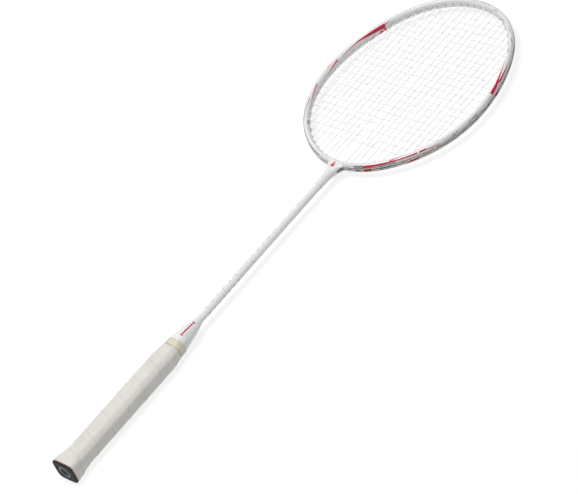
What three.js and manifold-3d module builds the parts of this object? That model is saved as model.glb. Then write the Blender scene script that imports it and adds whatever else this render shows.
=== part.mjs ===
// A badminton racket: a carbon hoop on a slim shaft, with a wooden handle under a wound grip.
// Millimetres. +X runs along the shaft from the butt end to the head's tip, +Y across the head,
// +Z out of the string plane. The origin is the centre of the butt cap's flat end face.
import * as THREE from "three";
import { mergeVertices } from "three/addons/utils/BufferGeometryUtils.js";
import Module from "manifold-3d";

const wasm = await Module();
wasm.setup();

// Head: the inner wall's outline, and the hoop's section measured outwards from that wall.
const HEAD_MIDDLE_X = 548;
const HEAD_HALF_LENGTH = 120.5;
const HEAD_HALF_WIDTH = 94;
const LOW_FULLNESS = 0.075;
const TIP_SQUARENESS = 0.11;
const HOOP_THICKNESS = 6.5;
const HOOP_HALF_DEPTH = 5.2;
const GROOVE_FLOOR = 4.7;
const GROOVE_HALF_WIDTH = 1.7;
const GROOVE_LIP_HALF_WIDTH = 2.05;
const HOOP_STATIONS = 64;

// String bed: mains run along X, crosses along Y, one layer each side of the middle plane.
const STRING_COUNT = 22;
const MAIN_PITCH = 7.9;
const MAIN_CROWDING = 0.035;
const FIRST_CROSS_X = 457.5;
const CROSS_PITCH = 9.2;
const LAYER = 0.45;
const STRING_RADIUS = 0.36;
const STRING_SIDES = 6;
const PASS_OUT = 5.95;
const PASS_STEP = 7;
const STRING_TURN_IN = -1.6;
const THROAT_MAIN_Y = [7.2, 13.4];

// Grommets: a barrel with a bore in each hole, on a web that lies in the groove.
const HOLE_RADIUS = 1.3;
const BARREL_RADIUS = 1.05;
const BORE_RADIUS = 0.62;
const BARREL_STUB = -0.9;
const WEB_IN = 4.95;
const WEB_OUT = 5.4;
const WEB_HALF_WIDTH = 1.5;
const WEB_OVERHANG = 1.9;
const WEB_STEP = 9;
const HOLE_MIN_PITCH = 4.4;
const HOLES_PER_STRIP = 6;

// Shaft and throat.
const SHAFT_RADIUS = 3.65;
const SHAFT_BORE_RADIUS = 2.7;
const SHAFT_FIT = 0.12;
const SHAFT_START_X = 40;
const SHAFT_END_X = 414;
const THROAT_WEB_HALF_WIDTH = 5;
const THROAT_SLOT_HALF_DEPTH = 2.1;
const THROAT_FLARE = [
  { x: 392, halfWidth: 4.05, halfDepth: 4.05 },
  { x: 400, halfWidth: 4.15, halfDepth: 4.15 },
  { x: 406, halfWidth: 4.5, halfDepth: 4.4 },
  { x: 411, halfWidth: 5.2, halfDepth: 4.7 },
  { x: 415, halfWidth: 6.5, halfDepth: 4.95 },
  { x: 419, halfWidth: 8.8, halfDepth: 5.1 },
  { x: 425, halfWidth: 13, halfDepth: 5.15 },
];
const ROUND_SIDES = 16;

// Handle: a rectangle with cut corners, whose half width in Y is given along X.
const GRIP_START_X = 2.3;
const GRIP_TAPER_START_X = 143;
const GRIP_END_X = 160;
const GRIP_HALF_WIDTH = 11.6;
const GRIP_FLARE = 2.6;
const GRIP_END_TAPER = 1.5;
const GRIP_THICKNESS = 1.6;
const FLARE_END_X = 22;
const HANDLE_END_X = 160;
const HANDLE_FLATNESS = 0.915;
const CORNER_CUT = 0.42;
const BUTT_CORNER_CUT = 0.32;
const CAP_FACE_HALF_WIDTH = 13.4;
const CAP_FLANGE = 2;
const CAP_WALL = 1.3;
const CAP_FLOOR = 3;
const CAP_DEPTH = 16;
const TAPE_END_X = 168.5;
const TAPE_THICKNESS = 0.55;
const CONE_BASE_HALF_WIDTH = 9.05;
const CONE_START_X = 160.3;
const CONE_PROFILE = [
  { x: CONE_START_X, radius: CONE_BASE_HALF_WIDTH, roundness: 0 },
  { x: TAPE_END_X, radius: CONE_BASE_HALF_WIDTH, roundness: 0 },
  { x: 173, radius: 8.9, roundness: 0.5 },
  { x: 180, radius: 8.1, roundness: 1 },
  { x: 188, radius: 6.9, roundness: 1 },
  { x: 196, radius: 5.2, roundness: 1 },
  { x: 200, radius: 4.3, roundness: 1 },
];
const BADGE_INNER_RADIUS = 4.6;
const BADGE_OUTER_RADIUS = 7.4;
const BADGE_THICKNESS = 0.6;
const BADGE_FIT = 0.15;
const GAP = 0.3;

const LOOKS = {
  pearl: { color: 0xe9e8ea, roughness: 0.25, metalness: 0.1 },
  gloss_white: { color: 0xf1eff0, roughness: 0.3, metalness: 0 },
  nylon: { color: 0xd9cdb4, roughness: 0.5, metalness: 0 },
  string: { color: 0xe4e6e4, roughness: 0.35, metalness: 0 },
  wood: { color: 0xc79f6b, roughness: 0.7, metalness: 0 },
  grip: { color: 0xdcd9d3, roughness: 0.8, metalness: 0 },
  tape: { color: 0xeae0c4, roughness: 0.6, metalness: 0 },
  cap: { color: 0x141416, roughness: 0.45, metalness: 0 },
  badge: { color: 0xb9bbbd, roughness: 0.35, metalness: 0.4 },
};

const racket = new THREE.Group();

function addPiece(name, geometry, look) {
  const mesh = new THREE.Mesh(geometry, new THREE.MeshStandardMaterial(LOOKS[look]));
  mesh.name = name;
  racket.add(mesh);
}

// ---- solids -----------------------------------------------------------------------------------

function signedVolume(points, index) {
  const corner = (i) => points[index[i]];
  let volume = 0;
  for (let i = 0; i < index.length; i += 3) {
    const across = new THREE.Vector3().crossVectors(corner(i + 1), corner(i + 2));
    volume += corner(i).dot(across) / 6;
  }
  return volume;
}

// A skin over rings of equal point count, capped at both ends or joined into a hoop.
function loft(rings, closed = false) {
  const sides = rings[0].length;
  const points = rings.flat();
  const index = [];
  const spans = closed ? rings.length : rings.length - 1;
  for (let i = 0; i < spans; i++) {
    const a = i * sides;
    const b = ((i + 1) % rings.length) * sides;
    for (let k = 0; k < sides; k++) {
      const n = (k + 1) % sides;
      index.push(a + k, b + k, b + n, a + k, b + n, a + n);
    }
  }
  const last = (rings.length - 1) * sides;
  for (let k = 1; k < sides - 1 && !closed; k++) {
    index.push(0, k, k + 1, last, last + k + 1, last + k);
  }
  if (signedVolume(points, index) < 0) {
    index.reverse();
  }
  return new THREE.BufferGeometry().setFromPoints(points).setIndex(index);
}

function solid(geometry) {
  const bare = geometry.clone();
  bare.deleteAttribute("normal");
  bare.deleteAttribute("uv");
  const merged = mergeVertices(bare, 1e-4);
  return new wasm.Manifold(
    new wasm.Mesh({
      numProp: 3,
      vertProperties: merged.attributes.position.array,
      triVerts: new Uint32Array(merged.index.array),
    }),
  );
}

function geometryOf(manifold) {
  const mesh = manifold.getMesh();
  return new THREE.BufferGeometry()
    .setAttribute("position", new THREE.BufferAttribute(mesh.vertProperties, 3))
    .setIndex(new THREE.BufferAttribute(mesh.triVerts, 1));
}

// A box given by its lowest and highest corners.
function boxSolid(low, high) {
  const size = new THREE.Vector3().subVectors(high, low);
  const middle = new THREE.Vector3().addVectors(low, high).multiplyScalar(0.5);
  const box = new THREE.BoxGeometry(size.x, size.y, size.z);
  return solid(box.translate(middle.x, middle.y, middle.z));
}

// ---- the head's outline -----------------------------------------------------------------------

// A point of the inner wall: angle 0 is the tip and pi the throat.
function innerWall(angle) {
  const c = Math.cos(angle);
  const fullness = 1 - LOW_FULLNESS * c + TIP_SQUARENESS * c ** 3;
  return new THREE.Vector3(
    HEAD_MIDDLE_X + HEAD_HALF_LENGTH * c,
    HEAD_HALF_WIDTH * Math.sin(angle) * fullness,
    0,
  );
}

function alongHoop(angle) {
  const step = 1e-4;
  return innerWall(angle + step).sub(innerWall(angle - step)).normalize();
}

function outOfHoop(angle) {
  const along = alongHoop(angle);
  return new THREE.Vector3(along.y, -along.x, 0);
}

// A point at a distance out from the inner wall and a height above the middle plane.
function hoopPoint(angle, out, z = 0) {
  const point = innerWall(angle).addScaledVector(outOfHoop(angle), out);
  point.z = z;
  return point;
}

function arcBetween(from, to) {
  const steps = 24;
  let length = 0;
  for (let i = 0; i < steps; i++) {
    const a = hoopPoint(from + ((to - from) * i) / steps, HOOP_THICKNESS);
    length += a.distanceTo(hoopPoint(from + ((to - from) * (i + 1)) / steps, HOOP_THICKNESS));
  }
  return length;
}

// Angles from 0 to 2 pi that cut the outline into equal arcs.
function evenAngles(count) {
  const samples = 2880;
  const full = 2 * Math.PI;
  const lengths = [0];
  for (let i = 1; i <= samples; i++) {
    const a = innerWall((full * (i - 1)) / samples);
    lengths.push(lengths[i - 1] + a.distanceTo(innerWall((full * i) / samples)));
  }
  const angles = [];
  let sample = 0;
  for (let k = 0; k < count; k++) {
    const target = (lengths[samples] * k) / count;
    while (lengths[sample + 1] < target) {
      sample++;
    }
    const part = (target - lengths[sample]) / (lengths[sample + 1] - lengths[sample]);
    angles.push((full * (sample + part)) / samples);
  }
  return angles;
}

// The angle between two limits where a measure of the outline passes zero.
function solveAngle(low, high, measure) {
  const rising = measure(high) > measure(low);
  for (let i = 0; i < 50; i++) {
    const middle = (low + high) / 2;
    if (measure(middle) > 0 === rising) {
      high = middle;
    } else {
      low = middle;
    }
  }
  return (low + high) / 2;
}

// ---- string holes -----------------------------------------------------------------------------

function mainY(i) {
  const k = i - (STRING_COUNT - 1) / 2;
  const edge = (2 * k) / (STRING_COUNT - 1);
  return MAIN_PITCH * k * (1 - MAIN_CROWDING * edge * edge);
}

function crossX(j) {
  return FIRST_CROSS_X + CROSS_PITCH * j;
}

// Holes of the +Y half, from the tip to the throat. Each has its angle, its string family and
// that string's number, counted from the axis for mains and from the throat for crosses.
function halfHoles() {
  const widest = solveAngle(1, 2.4, (a) => alongHoop(a).y);
  const holes = [];
  for (let i = STRING_COUNT / 2; i < STRING_COUNT; i++) {
    const number = i - STRING_COUNT / 2;
    const y = mainY(i);
    const low = THROAT_MAIN_Y[number] ?? y;
    const miss = (target) => (a) => hoopPoint(a, STRING_TURN_IN).y - target;
    holes.push({ family: "main_tip", number, angle: solveAngle(0, widest, miss(y)) });
    holes.push({ family: "main_throat", number, angle: solveAngle(widest, Math.PI, miss(low)) });
  }
  for (let j = 0; j < STRING_COUNT; j++) {
    const miss = (a) => hoopPoint(a, STRING_TURN_IN).x - crossX(j);
    holes.push({ family: "cross", number: j, angle: solveAngle(0, Math.PI, miss) });
  }
  holes.sort((a, b) => a.angle - b.angle);
  spreadHoles(holes);
  return holes;
}

// Moves close neighbours apart until each pair has room for its two grommets.
function spreadHoles(holes) {
  for (let round = 0; round < 40; round++) {
    for (let i = 1; i < holes.length; i++) {
      const arc = arcBetween(holes[i - 1].angle, holes[i].angle);
      if (arc < HOLE_MIN_PITCH) {
        const push = ((holes[i].angle - holes[i - 1].angle) * (HOLE_MIN_PITCH - arc)) / arc / 2;
        holes[i - 1].angle -= push;
        holes[i].angle += push;
      }
    }
  }
}

const leftHoles = halfHoles();
const rightHoles = leftHoles.map((hole) => ({ ...hole, angle: 2 * Math.PI - hole.angle }));

function layerOf(hole) {
  return hole.family === "cross" ? -LAYER : LAYER;
}

// A six-sided prism through the hoop's wall at a hole, with flat sides above and below.
function holePrism(hole, radius, from, to) {
  const along = alongHoop(hole.angle);
  const ring = (out) => {
    const points = [];
    for (let k = 0; k < 6; k++) {
      const turn = (k * Math.PI) / 3;
      const point = hoopPoint(hole.angle, out, layerOf(hole) + radius * Math.sin(turn));
      points.push(point.addScaledVector(along, radius * Math.cos(turn)));
    }
    return points;
  };
  return solid(loft([ring(from), ring(to)]));
}

// ---- head pieces ------------------------------------------------------------------------------

function hoopSection() {
  const half = [
    [GROOVE_FLOOR, GROOVE_HALF_WIDTH],
    [HOOP_THICKNESS, GROOVE_LIP_HALF_WIDTH],
    [0.86 * HOOP_THICKNESS, 0.84 * HOOP_HALF_DEPTH],
    [0.5 * HOOP_THICKNESS, HOOP_HALF_DEPTH],
    [0.12 * HOOP_THICKNESS, 0.8 * HOOP_HALF_DEPTH],
    [0, 0.45 * HOOP_HALF_DEPTH],
  ];
  const mirrored = half.map(([out, z]) => [out, -z]).reverse();
  return [...half, ...mirrored];
}

function headFrame() {
  const section = hoopSection();
  const rings = evenAngles(HOOP_STATIONS).map((angle) =>
    section.map(([out, z]) => hoopPoint(angle, out, z)),
  );
  let hoop = solid(loft(rings, true));
  for (const hole of [...leftHoles, ...rightHoles]) {
    hoop = hoop.subtract(holePrism(hole, HOLE_RADIUS, -2, HOOP_THICKNESS));
  }
  return geometryOf(hoop);
}

// Angles from one to another, with steps no longer than a given arc.
function anglesBetween(from, to, longest) {
  const steps = Math.max(1, Math.ceil(arcBetween(from, to) / longest));
  return Array.from({ length: steps + 1 }, (_, i) => from + ((to - from) * i) / steps);
}

// Web stations lie between the holes, so that each hole is cut in one flat facet.
function webAngles(holes) {
  const overhang = WEB_OVERHANG / arcBetween(holes[0].angle, holes[0].angle + 1);
  const angles = [holes[0].angle - overhang];
  for (let i = 1; i < holes.length; i++) {
    const from = holes[i - 1].angle;
    const to = holes[i].angle;
    const count = Math.ceil(arcBetween(from, to) / WEB_STEP);
    for (let k = 0; k < count; k++) {
      angles.push(from + ((to - from) * (k + 0.5)) / count);
    }
  }
  angles.push(holes.at(-1).angle + overhang);
  return angles;
}

function grommetStrip(holes) {
  const web = webAngles(holes).map((angle) => [
    hoopPoint(angle, WEB_IN, -WEB_HALF_WIDTH),
    hoopPoint(angle, WEB_OUT, -WEB_HALF_WIDTH),
    hoopPoint(angle, WEB_OUT, WEB_HALF_WIDTH),
    hoopPoint(angle, WEB_IN, WEB_HALF_WIDTH),
  ]);
  let strip = solid(loft(web));
  for (const hole of holes) {
    strip = strip.add(holePrism(hole, BARREL_RADIUS, BARREL_STUB, (WEB_IN + WEB_OUT) / 2));
  }
  for (const hole of holes) {
    strip = strip.subtract(holePrism(hole, BORE_RADIUS, -2, HOOP_THICKNESS));
  }
  return geometryOf(strip);
}

function addGrommets() {
  const sides = { left: leftHoles, right: rightHoles };
  for (const [side, holes] of Object.entries(sides)) {
    for (let first = 0; first < holes.length; first += HOLES_PER_STRIP) {
      const group = holes.slice(first, first + HOLES_PER_STRIP);
      group.sort((a, b) => a.angle - b.angle);
      const number = 1 + first / HOLES_PER_STRIP;
      addPiece(`grommet_strip_${side}_${number}`, grommetStrip(group), "nylon");
    }
  }
}

// ---- strings ----------------------------------------------------------------------------------

// A six-sided cord along a flat route, with mitred corners.
function flatCord(route, z) {
  const rings = route.map((point, i) => {
    const before = route[Math.max(i - 1, 0)];
    const after = route[Math.min(i + 1, route.length - 1)];
    const arriving = new THREE.Vector2(point.x - before.x, point.y - before.y).normalize();
    const leaving = new THREE.Vector2(after.x - point.x, after.y - point.y).normalize();
    const first = i === 0 ? leaving : arriving;
    const mean = new THREE.Vector2().addVectors(first, i === route.length - 1 ? first : leaving);
    mean.normalize();
    const across = new THREE.Vector3(-mean.y, mean.x, 0);
    const reach = STRING_RADIUS / mean.dot(first);
    return Array.from({ length: STRING_SIDES }, (_, k) => {
      const turn = (2 * Math.PI * k) / STRING_SIDES;
      const ringPoint = new THREE.Vector3(point.x, point.y, z + STRING_RADIUS * Math.sin(turn));
      return ringPoint.addScaledVector(across, reach * Math.cos(turn));
    });
  });
  return loft(rings);
}

function holeOf(family, number, left) {
  const holes = left ? leftHoles : rightHoles;
  return holes.find((hole) => hole.family === family && hole.number === number);
}

// The outside pass along the groove from one hole to the next, the short way round.
function groovePass(from, to) {
  const full = 2 * Math.PI;
  const turn = to.angle - from.angle;
  const short = turn - full * Math.round(turn / full);
  const angles = anglesBetween(from.angle, from.angle + short, PASS_STEP);
  return angles.map((angle) => hoopPoint(angle, PASS_OUT));
}

// A route that enters and leaves the bed through pairs of holes in turn.
function serpentine(runs) {
  const route = [];
  runs.forEach(([start, end], i) => {
    const previous = i > 0 ? runs[i - 1][1] : null;
    route.push(...(previous ? groovePass(previous, start) : [hoopPoint(start.angle, PASS_OUT)]));
    route.push(hoopPoint(start.angle, STRING_TURN_IN), hoopPoint(end.angle, STRING_TURN_IN));
  });
  route.push(hoopPoint(runs.at(-1)[1].angle, PASS_OUT));
  return route;
}

function mainString() {
  const runs = [];
  for (let i = 0; i < STRING_COUNT; i++) {
    const left = i < STRING_COUNT / 2;
    const number = left ? STRING_COUNT / 2 - 1 - i : i - STRING_COUNT / 2;
    const ends = [holeOf("main_throat", number, left), holeOf("main_tip", number, left)];
    runs.push(i % 2 === 0 ? ends : ends.reverse());
  }
  return flatCord(serpentine(runs), LAYER);
}

function crossString() {
  const runs = [];
  for (let j = 0; j < STRING_COUNT; j++) {
    const ends = [holeOf("cross", j, true), holeOf("cross", j, false)];
    runs.push(j % 2 === 0 ? ends : ends.reverse());
  }
  return flatCord(serpentine(runs), -LAYER);
}

// ---- shaft, throat and handle -----------------------------------------------------------------

// A round ring across the shaft's line.
function ring(x, halfWidth, halfDepth = halfWidth) {
  return Array.from({ length: ROUND_SIDES }, (_, k) => {
    const turn = (2 * Math.PI * k) / ROUND_SIDES;
    return new THREE.Vector3(x, halfWidth * Math.cos(turn), halfDepth * Math.sin(turn));
  });
}

// A ring of the handle's section, as many points as a round one: roundness 1 makes it an ellipse.
function handleRing(x, halfWidth, roundness = 0) {
  const near = 1 - cornerCut(x);
  const middle = (1 + near) / 2;
  const quarter = [[1, 0], [1, near], [middle, middle], [near, 1]];
  const flatness = HANDLE_FLATNESS + (1 - HANDLE_FLATNESS) * roundness;
  return Array.from({ length: ROUND_SIDES }, (_, k) => {
    const turn = (2 * Math.PI * k) / ROUND_SIDES;
    const square = new THREE.Vector2(...quarter[k % 4]);
    square.rotateAround(new THREE.Vector2(), (Math.floor(k / 4) * Math.PI) / 2);
    square.lerp(new THREE.Vector2(Math.cos(turn), Math.sin(turn)), roundness);
    return new THREE.Vector3(x, halfWidth * square.x, halfWidth * flatness * square.y);
  });
}

// The corners are sharper at the butt than along the grip.
function cornerCut(x) {
  const along = Math.min(1, Math.max(0, x / FLARE_END_X));
  return BUTT_CORNER_CUT + (CORNER_CUT - BUTT_CORNER_CUT) * along;
}

function rod(radius, from, to) {
  return solid(loft([ring(from, radius), ring(to, radius)]));
}

// A bar of the handle's section whose half width is a function of X.
function handleBar(stations, halfWidth) {
  return solid(loft(stations.map((x) => handleRing(x, halfWidth(x)))));
}

function shaftTube() {
  const bore = rod(SHAFT_BORE_RADIUS, SHAFT_START_X - 1, SHAFT_END_X + 1);
  return geometryOf(rod(SHAFT_RADIUS, SHAFT_START_X, SHAFT_END_X).subtract(bore));
}

function throatJoint() {
  const rings = THROAT_FLARE.map(({ x, halfWidth, halfDepth }) => ring(x, halfWidth, halfDepth));
  const outline = evenAngles(HOOP_STATIONS);
  const hoopFace = (z) => outline.map((angle) => hoopPoint(angle, HOOP_THICKNESS + GAP, z));
  const hoopRoom = solid(loft([hoopFace(-2 * HOOP_HALF_DEPTH), hoopFace(2 * HOOP_HALF_DEPTH)]));
  let joint = solid(loft(rings)).subtract(hoopRoom);
  const start = THROAT_FLARE[0].x;
  joint = joint.subtract(rod(SHAFT_RADIUS + SHAFT_FIT, start - 1, SHAFT_END_X + GAP));
  for (const side of [-1, 1]) {
    const near = side * THROAT_WEB_HALF_WIDTH;
    const far = side * 2 * HOOP_THICKNESS;
    const low = new THREE.Vector3(start, Math.min(near, far), -THROAT_SLOT_HALF_DEPTH);
    const high = new THREE.Vector3(HEAD_MIDDLE_X, Math.max(near, far), THROAT_SLOT_HALF_DEPTH);
    joint = joint.subtract(boxSolid(low, high));
  }
  return geometryOf(joint);
}

function gripHalfWidth(x) {
  const flare = Math.max(0, 1 - x / FLARE_END_X);
  const taper = Math.max(0, (x - GRIP_TAPER_START_X) / (GRIP_END_X - GRIP_TAPER_START_X));
  return GRIP_HALF_WIDTH + GRIP_FLARE * flare - GRIP_END_TAPER * taper;
}

function coreHalfWidth(x) {
  return gripHalfWidth(x) - GRIP_THICKNESS - GAP;
}

function gripWrap() {
  const stations = [GRIP_START_X, 12, FLARE_END_X, GRIP_TAPER_START_X, GRIP_END_X];
  const inner = [GRIP_START_X - 1, ...stations.slice(1, -1), GRIP_END_X + 1];
  const room = handleBar(inner, (x) => gripHalfWidth(x) - GRIP_THICKNESS);
  return geometryOf(handleBar(stations, gripHalfWidth).subtract(room));
}

// The handle's wood before it is split: a neck inside the butt cap, then the full section.
function handleCore() {
  const neckEnd = CAP_DEPTH + GAP;
  const neckHalf = (x) => coreHalfWidth(x) - CAP_WALL - GAP;
  const neck = handleBar([CAP_FLOOR + GAP, neckEnd + 1], neckHalf);
  const stations = [neckEnd, FLARE_END_X, GRIP_TAPER_START_X, HANDLE_END_X];
  const body = handleBar(stations, coreHalfWidth);
  const bore = rod(SHAFT_RADIUS + GAP, SHAFT_START_X - GAP, HANDLE_END_X + 1);
  return neck.add(body).subtract(bore);
}

function addHandleHalves() {
  const core = handleCore();
  const reach = 2 * GRIP_HALF_WIDTH;
  const halves = { handle_half_upper: [GAP / 2, reach], handle_half_lower: [-reach, -GAP / 2] };
  for (const [name, [low, high]] of Object.entries(halves)) {
    const keep = boxSolid(
      new THREE.Vector3(0, -reach, low),
      new THREE.Vector3(HANDLE_END_X + reach, reach, high),
    );
    addPiece(name, geometryOf(core.intersect(keep)), "wood");
  }
}

// A flange with the flat end face, a skirt under the grip, and a round recess for the badge.
function buttCap() {
  const flange = handleBar([0, CAP_FLANGE], () => CAP_FACE_HALF_WIDTH);
  const skirt = handleBar([CAP_FLANGE / 2, CAP_DEPTH], coreHalfWidth);
  const room = handleBar([CAP_FLOOR, CAP_DEPTH + 1], (x) => coreHalfWidth(x) - CAP_WALL);
  const badgeDepth = BADGE_THICKNESS + BADGE_FIT;
  const recess = rod(BADGE_OUTER_RADIUS + BADGE_FIT, -1, badgeDepth);
  const island = rod(BADGE_INNER_RADIUS - BADGE_FIT, -2, badgeDepth + 1);
  return geometryOf(flange.add(skirt).subtract(room).subtract(recess.subtract(island)));
}

function buttBadge() {
  const disc = rod(BADGE_OUTER_RADIUS, 0, BADGE_THICKNESS);
  return geometryOf(disc.subtract(rod(BADGE_INNER_RADIUS, -1, BADGE_THICKNESS + 1)));
}

function coneCap() {
  const rings = CONE_PROFILE.map(({ x, radius, roundness }) => handleRing(x, radius, roundness));
  const bore = rod(SHAFT_RADIUS + SHAFT_FIT, CONE_START_X - 1, CONE_PROFILE.at(-1).x + 1);
  return geometryOf(solid(loft(rings)).subtract(bore));
}

function finishingTape() {
  const start = GRIP_END_X + GAP;
  const inside = CONE_BASE_HALF_WIDTH + GAP;
  const outer = handleBar([start, TAPE_END_X], () => inside + TAPE_THICKNESS);
  const room = handleBar([start - 1, TAPE_END_X + 1], () => inside);
  return geometryOf(outer.subtract(room));
}

// ---- assembly ---------------------------------------------------------------------------------

addPiece("head_frame", headFrame(), "pearl");
addGrommets();
addPiece("main_string", mainString(), "string");
addPiece("cross_string", crossString(), "string");
addPiece("throat_joint", throatJoint(), "pearl");
addPiece("shaft_tube", shaftTube(), "pearl");
addPiece("cone_cap", coneCap(), "gloss_white");
addHandleHalves();
addPiece("butt_cap", buttCap(), "cap");
addPiece("butt_badge", buttBadge(), "badge");
addPiece("grip_wrap", gripWrap(), "grip");
addPiece("finishing_tape", finishingTape(), "tape");

export default racket;
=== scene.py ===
"""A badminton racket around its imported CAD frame: hoop, woven string bed, grommets, shaft,
cone and wrapped handle. Sizes are in millimetres until a mesh is made, and metres after that."""
import math

import bmesh
import bpy
import numpy as np
from mathutils import Matrix, Vector, kdtree, noise


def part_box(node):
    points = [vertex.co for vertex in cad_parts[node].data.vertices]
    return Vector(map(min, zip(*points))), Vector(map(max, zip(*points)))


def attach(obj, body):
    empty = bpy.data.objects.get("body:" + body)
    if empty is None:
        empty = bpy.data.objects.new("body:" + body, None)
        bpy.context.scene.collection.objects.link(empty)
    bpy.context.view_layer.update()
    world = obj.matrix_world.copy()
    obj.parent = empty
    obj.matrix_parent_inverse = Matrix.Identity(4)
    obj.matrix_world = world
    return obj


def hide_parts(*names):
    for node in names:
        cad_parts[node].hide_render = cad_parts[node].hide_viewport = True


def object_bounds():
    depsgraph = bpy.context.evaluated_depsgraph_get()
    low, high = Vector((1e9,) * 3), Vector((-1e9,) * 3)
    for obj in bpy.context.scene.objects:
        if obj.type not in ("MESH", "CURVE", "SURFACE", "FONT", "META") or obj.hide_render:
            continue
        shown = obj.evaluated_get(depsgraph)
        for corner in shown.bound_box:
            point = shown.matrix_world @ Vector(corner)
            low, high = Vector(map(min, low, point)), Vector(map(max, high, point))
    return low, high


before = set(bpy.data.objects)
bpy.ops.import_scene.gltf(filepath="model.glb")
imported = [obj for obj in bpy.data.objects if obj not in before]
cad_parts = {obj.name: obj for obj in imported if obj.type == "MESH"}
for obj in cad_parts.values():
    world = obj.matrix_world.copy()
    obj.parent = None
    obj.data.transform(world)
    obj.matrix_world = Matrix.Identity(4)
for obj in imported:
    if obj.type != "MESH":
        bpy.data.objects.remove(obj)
cad_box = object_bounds()

MM = 0.001
FULL = 2 * math.pi


def span(node):
    """A CAD node's lowest and highest corner in millimetres."""
    low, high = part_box(node)
    return np.array(low) / MM, np.array(high) / MM


hoop_low, hoop_high = span("head_frame")
cone_low, cone_high = span("cone_cap")
tape_low, tape_high = span("finishing_tape")
grip_low, grip_high = span("grip_wrap")
joint_low, _ = span("throat_joint")
shaft_low, shaft_high = span("shaft_tube")

# Head: the inner wall's outline, and the hoop's section measured outwards from that wall.
HOOP_THICKNESS = 6.5
HOOP_HALF_DEPTH = hoop_high[2]
HEAD_MIDDLE_X = (hoop_low[0] + hoop_high[0]) / 2
HEAD_HALF_LENGTH = (hoop_high[0] - hoop_low[0]) / 2 - HOOP_THICKNESS
HEAD_HALF_WIDTH = 94
LOW_FULLNESS = 0.075
TIP_SQUARENESS = 0.11
GROOVE_FLOOR = 4.7
GROOVE_HALF_WIDTH = 1.7
GROOVE_LIP_HALF_WIDTH = 2.05
SECTION_POWER = 2.35
HOOP_STATIONS = 760

# String bed.
STRING_COUNT = 22
MAIN_PITCH = 7.9
MAIN_CROWDING = 0.035
FIRST_CROSS_X = 457.5
CROSS_PITCH = 9.2
LAYER = 0.45
STRING_RADIUS = 0.35
WEAVE = 0.37
PASS_OUT = 5.85
STRING_TURN_IN = -1.6
THROAT_MAIN_Y = [7.2, 13.4]

# Grommets.
HOLE_RADIUS = 1.25
BARREL_RADIUS = 1.05
BORE_RADIUS = 0.62
BARREL_STUB = -0.9
WEB_IN = 4.95
WEB_OUT = 5.4
WEB_HALF_WIDTH = 1.5
WEB_NARROW_HALF_WIDTH = 0.98
WEB_OVERHANG = 1.9
COLLAR_RADIUS = 2
HOLE_MIN_PITCH = 4.4
HOLES_PER_STRIP = 6

# Shaft, throat and handle.
SHAFT_RADIUS = 3.65
SHAFT_BORE_RADIUS = 2.7
GRIP_HALF_WIDTH = 11.6
GRIP_FLARE = 2.0
GRIP_END_TAPER = 1.5
GRIP_TAPER_LENGTH = 17
GRIP_THICKNESS = 1.6
FLARE_LENGTH = 24
HANDLE_FLATNESS = 0.915
CORNER_CUT = 0.42
BUTT_CORNER_CUT = 0.2
WRAP_PITCH = 23.5
CAP_FLANGE = 2.1
CAP_FACE_HALF_WIDTH = 12.9
CAP_DEPTH = 16
CAP_FLOOR = 3
TAPE_HALF_WIDTH = 9.95
TAPE_INNER_HALF_WIDTH = 9.3
BADGE_INNER_RADIUS = 4.6
BADGE_OUTER_RADIUS = 7.4

# Throat: distance from the joint's round end, half width and half depth.
THROAT_PROFILE = [
    (0, 4.0, 4.0),
    (5, 4.1, 4.1),
    (10, 4.22, 4.22),
    (15, 4.5, 4.42),
    (19, 5.1, 4.6),
    (23, 6.2, 4.8),
    (27, 8.2, 4.95),
    (30, 10.6, 5.02),
    (33, 13.2, 5.05),
]
THROAT_SLOT_X = (415, 435)
THROAT_SLOT_Y = (5.0, 16.0)
THROAT_SLOT_HALF_DEPTH = 2.05
HOOP_BITE = 0.25

# Cone: the half width under the tape, then X and half width past it.
CONE_BASE_HALF_WIDTH = 9.05
CONE_PROFILE = [(173, 8.95), (178, 8.5), (184, 7.6), (190, 6.5), (196, 5.2)]
CONE_LIP_HALF_WIDTH = 4.45
CONE_LIP_LENGTH = 1.2
CONE_BORE_RADIUS = 3.72

# Studio. The camera's place and aim are in metres.
CAMERA_PLACE = (-0.7136, -1.5236, 1.5805)
CAMERA_AIM = (0.3135, -0.0247, 0)
CAMERA_ROLL = math.radians(24.45)
CAMERA_LENS = 155.69
WORLD_STRENGTH = 0.36
FLOOR_GAP = 0.3

# ---- meshes -------------------------------------------------------------------------------------


def add_mesh(name, points, faces, material=None, sharp=40):
    mesh = bpy.data.meshes.new(name)
    mesh.from_pydata((np.asarray(points) * MM).tolist(), [], [list(map(int, f)) for f in faces])
    mesh.validate()
    if material:
        mesh.materials.append(material)
    piece = bpy.data.objects.new(name, mesh)
    bpy.context.scene.collection.objects.link(piece)
    face_out(mesh)
    smooth(mesh, sharp)
    return piece


def face_out(mesh):
    """Turns every closed shell of the mesh so that its faces point outwards."""
    work = bmesh.new()
    work.from_mesh(mesh)
    bmesh.ops.recalc_face_normals(work, faces=work.faces)
    work.to_mesh(mesh)
    work.free()


def smooth(mesh, sharp):
    mesh.shade_smooth()
    mesh.set_sharp_from_angle(angle=math.radians(sharp))


def skin_faces(stations, sides, closed=False, first=0):
    """Quads over stations x sides points, with a cap on each end unless it closes on itself."""
    faces = []
    for i in range(stations if closed else stations - 1):
        a = first + i * sides
        b = first + (i + 1) % stations * sides
        for k in range(sides):
            n = (k + 1) % sides
            faces.append((a + k, b + k, b + n, a + n))
    if not closed:
        last = first + (stations - 1) * sides
        faces.append(tuple(first + k for k in range(sides)))
        faces.append(tuple(last + k for k in reversed(range(sides))))
    return faces


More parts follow.
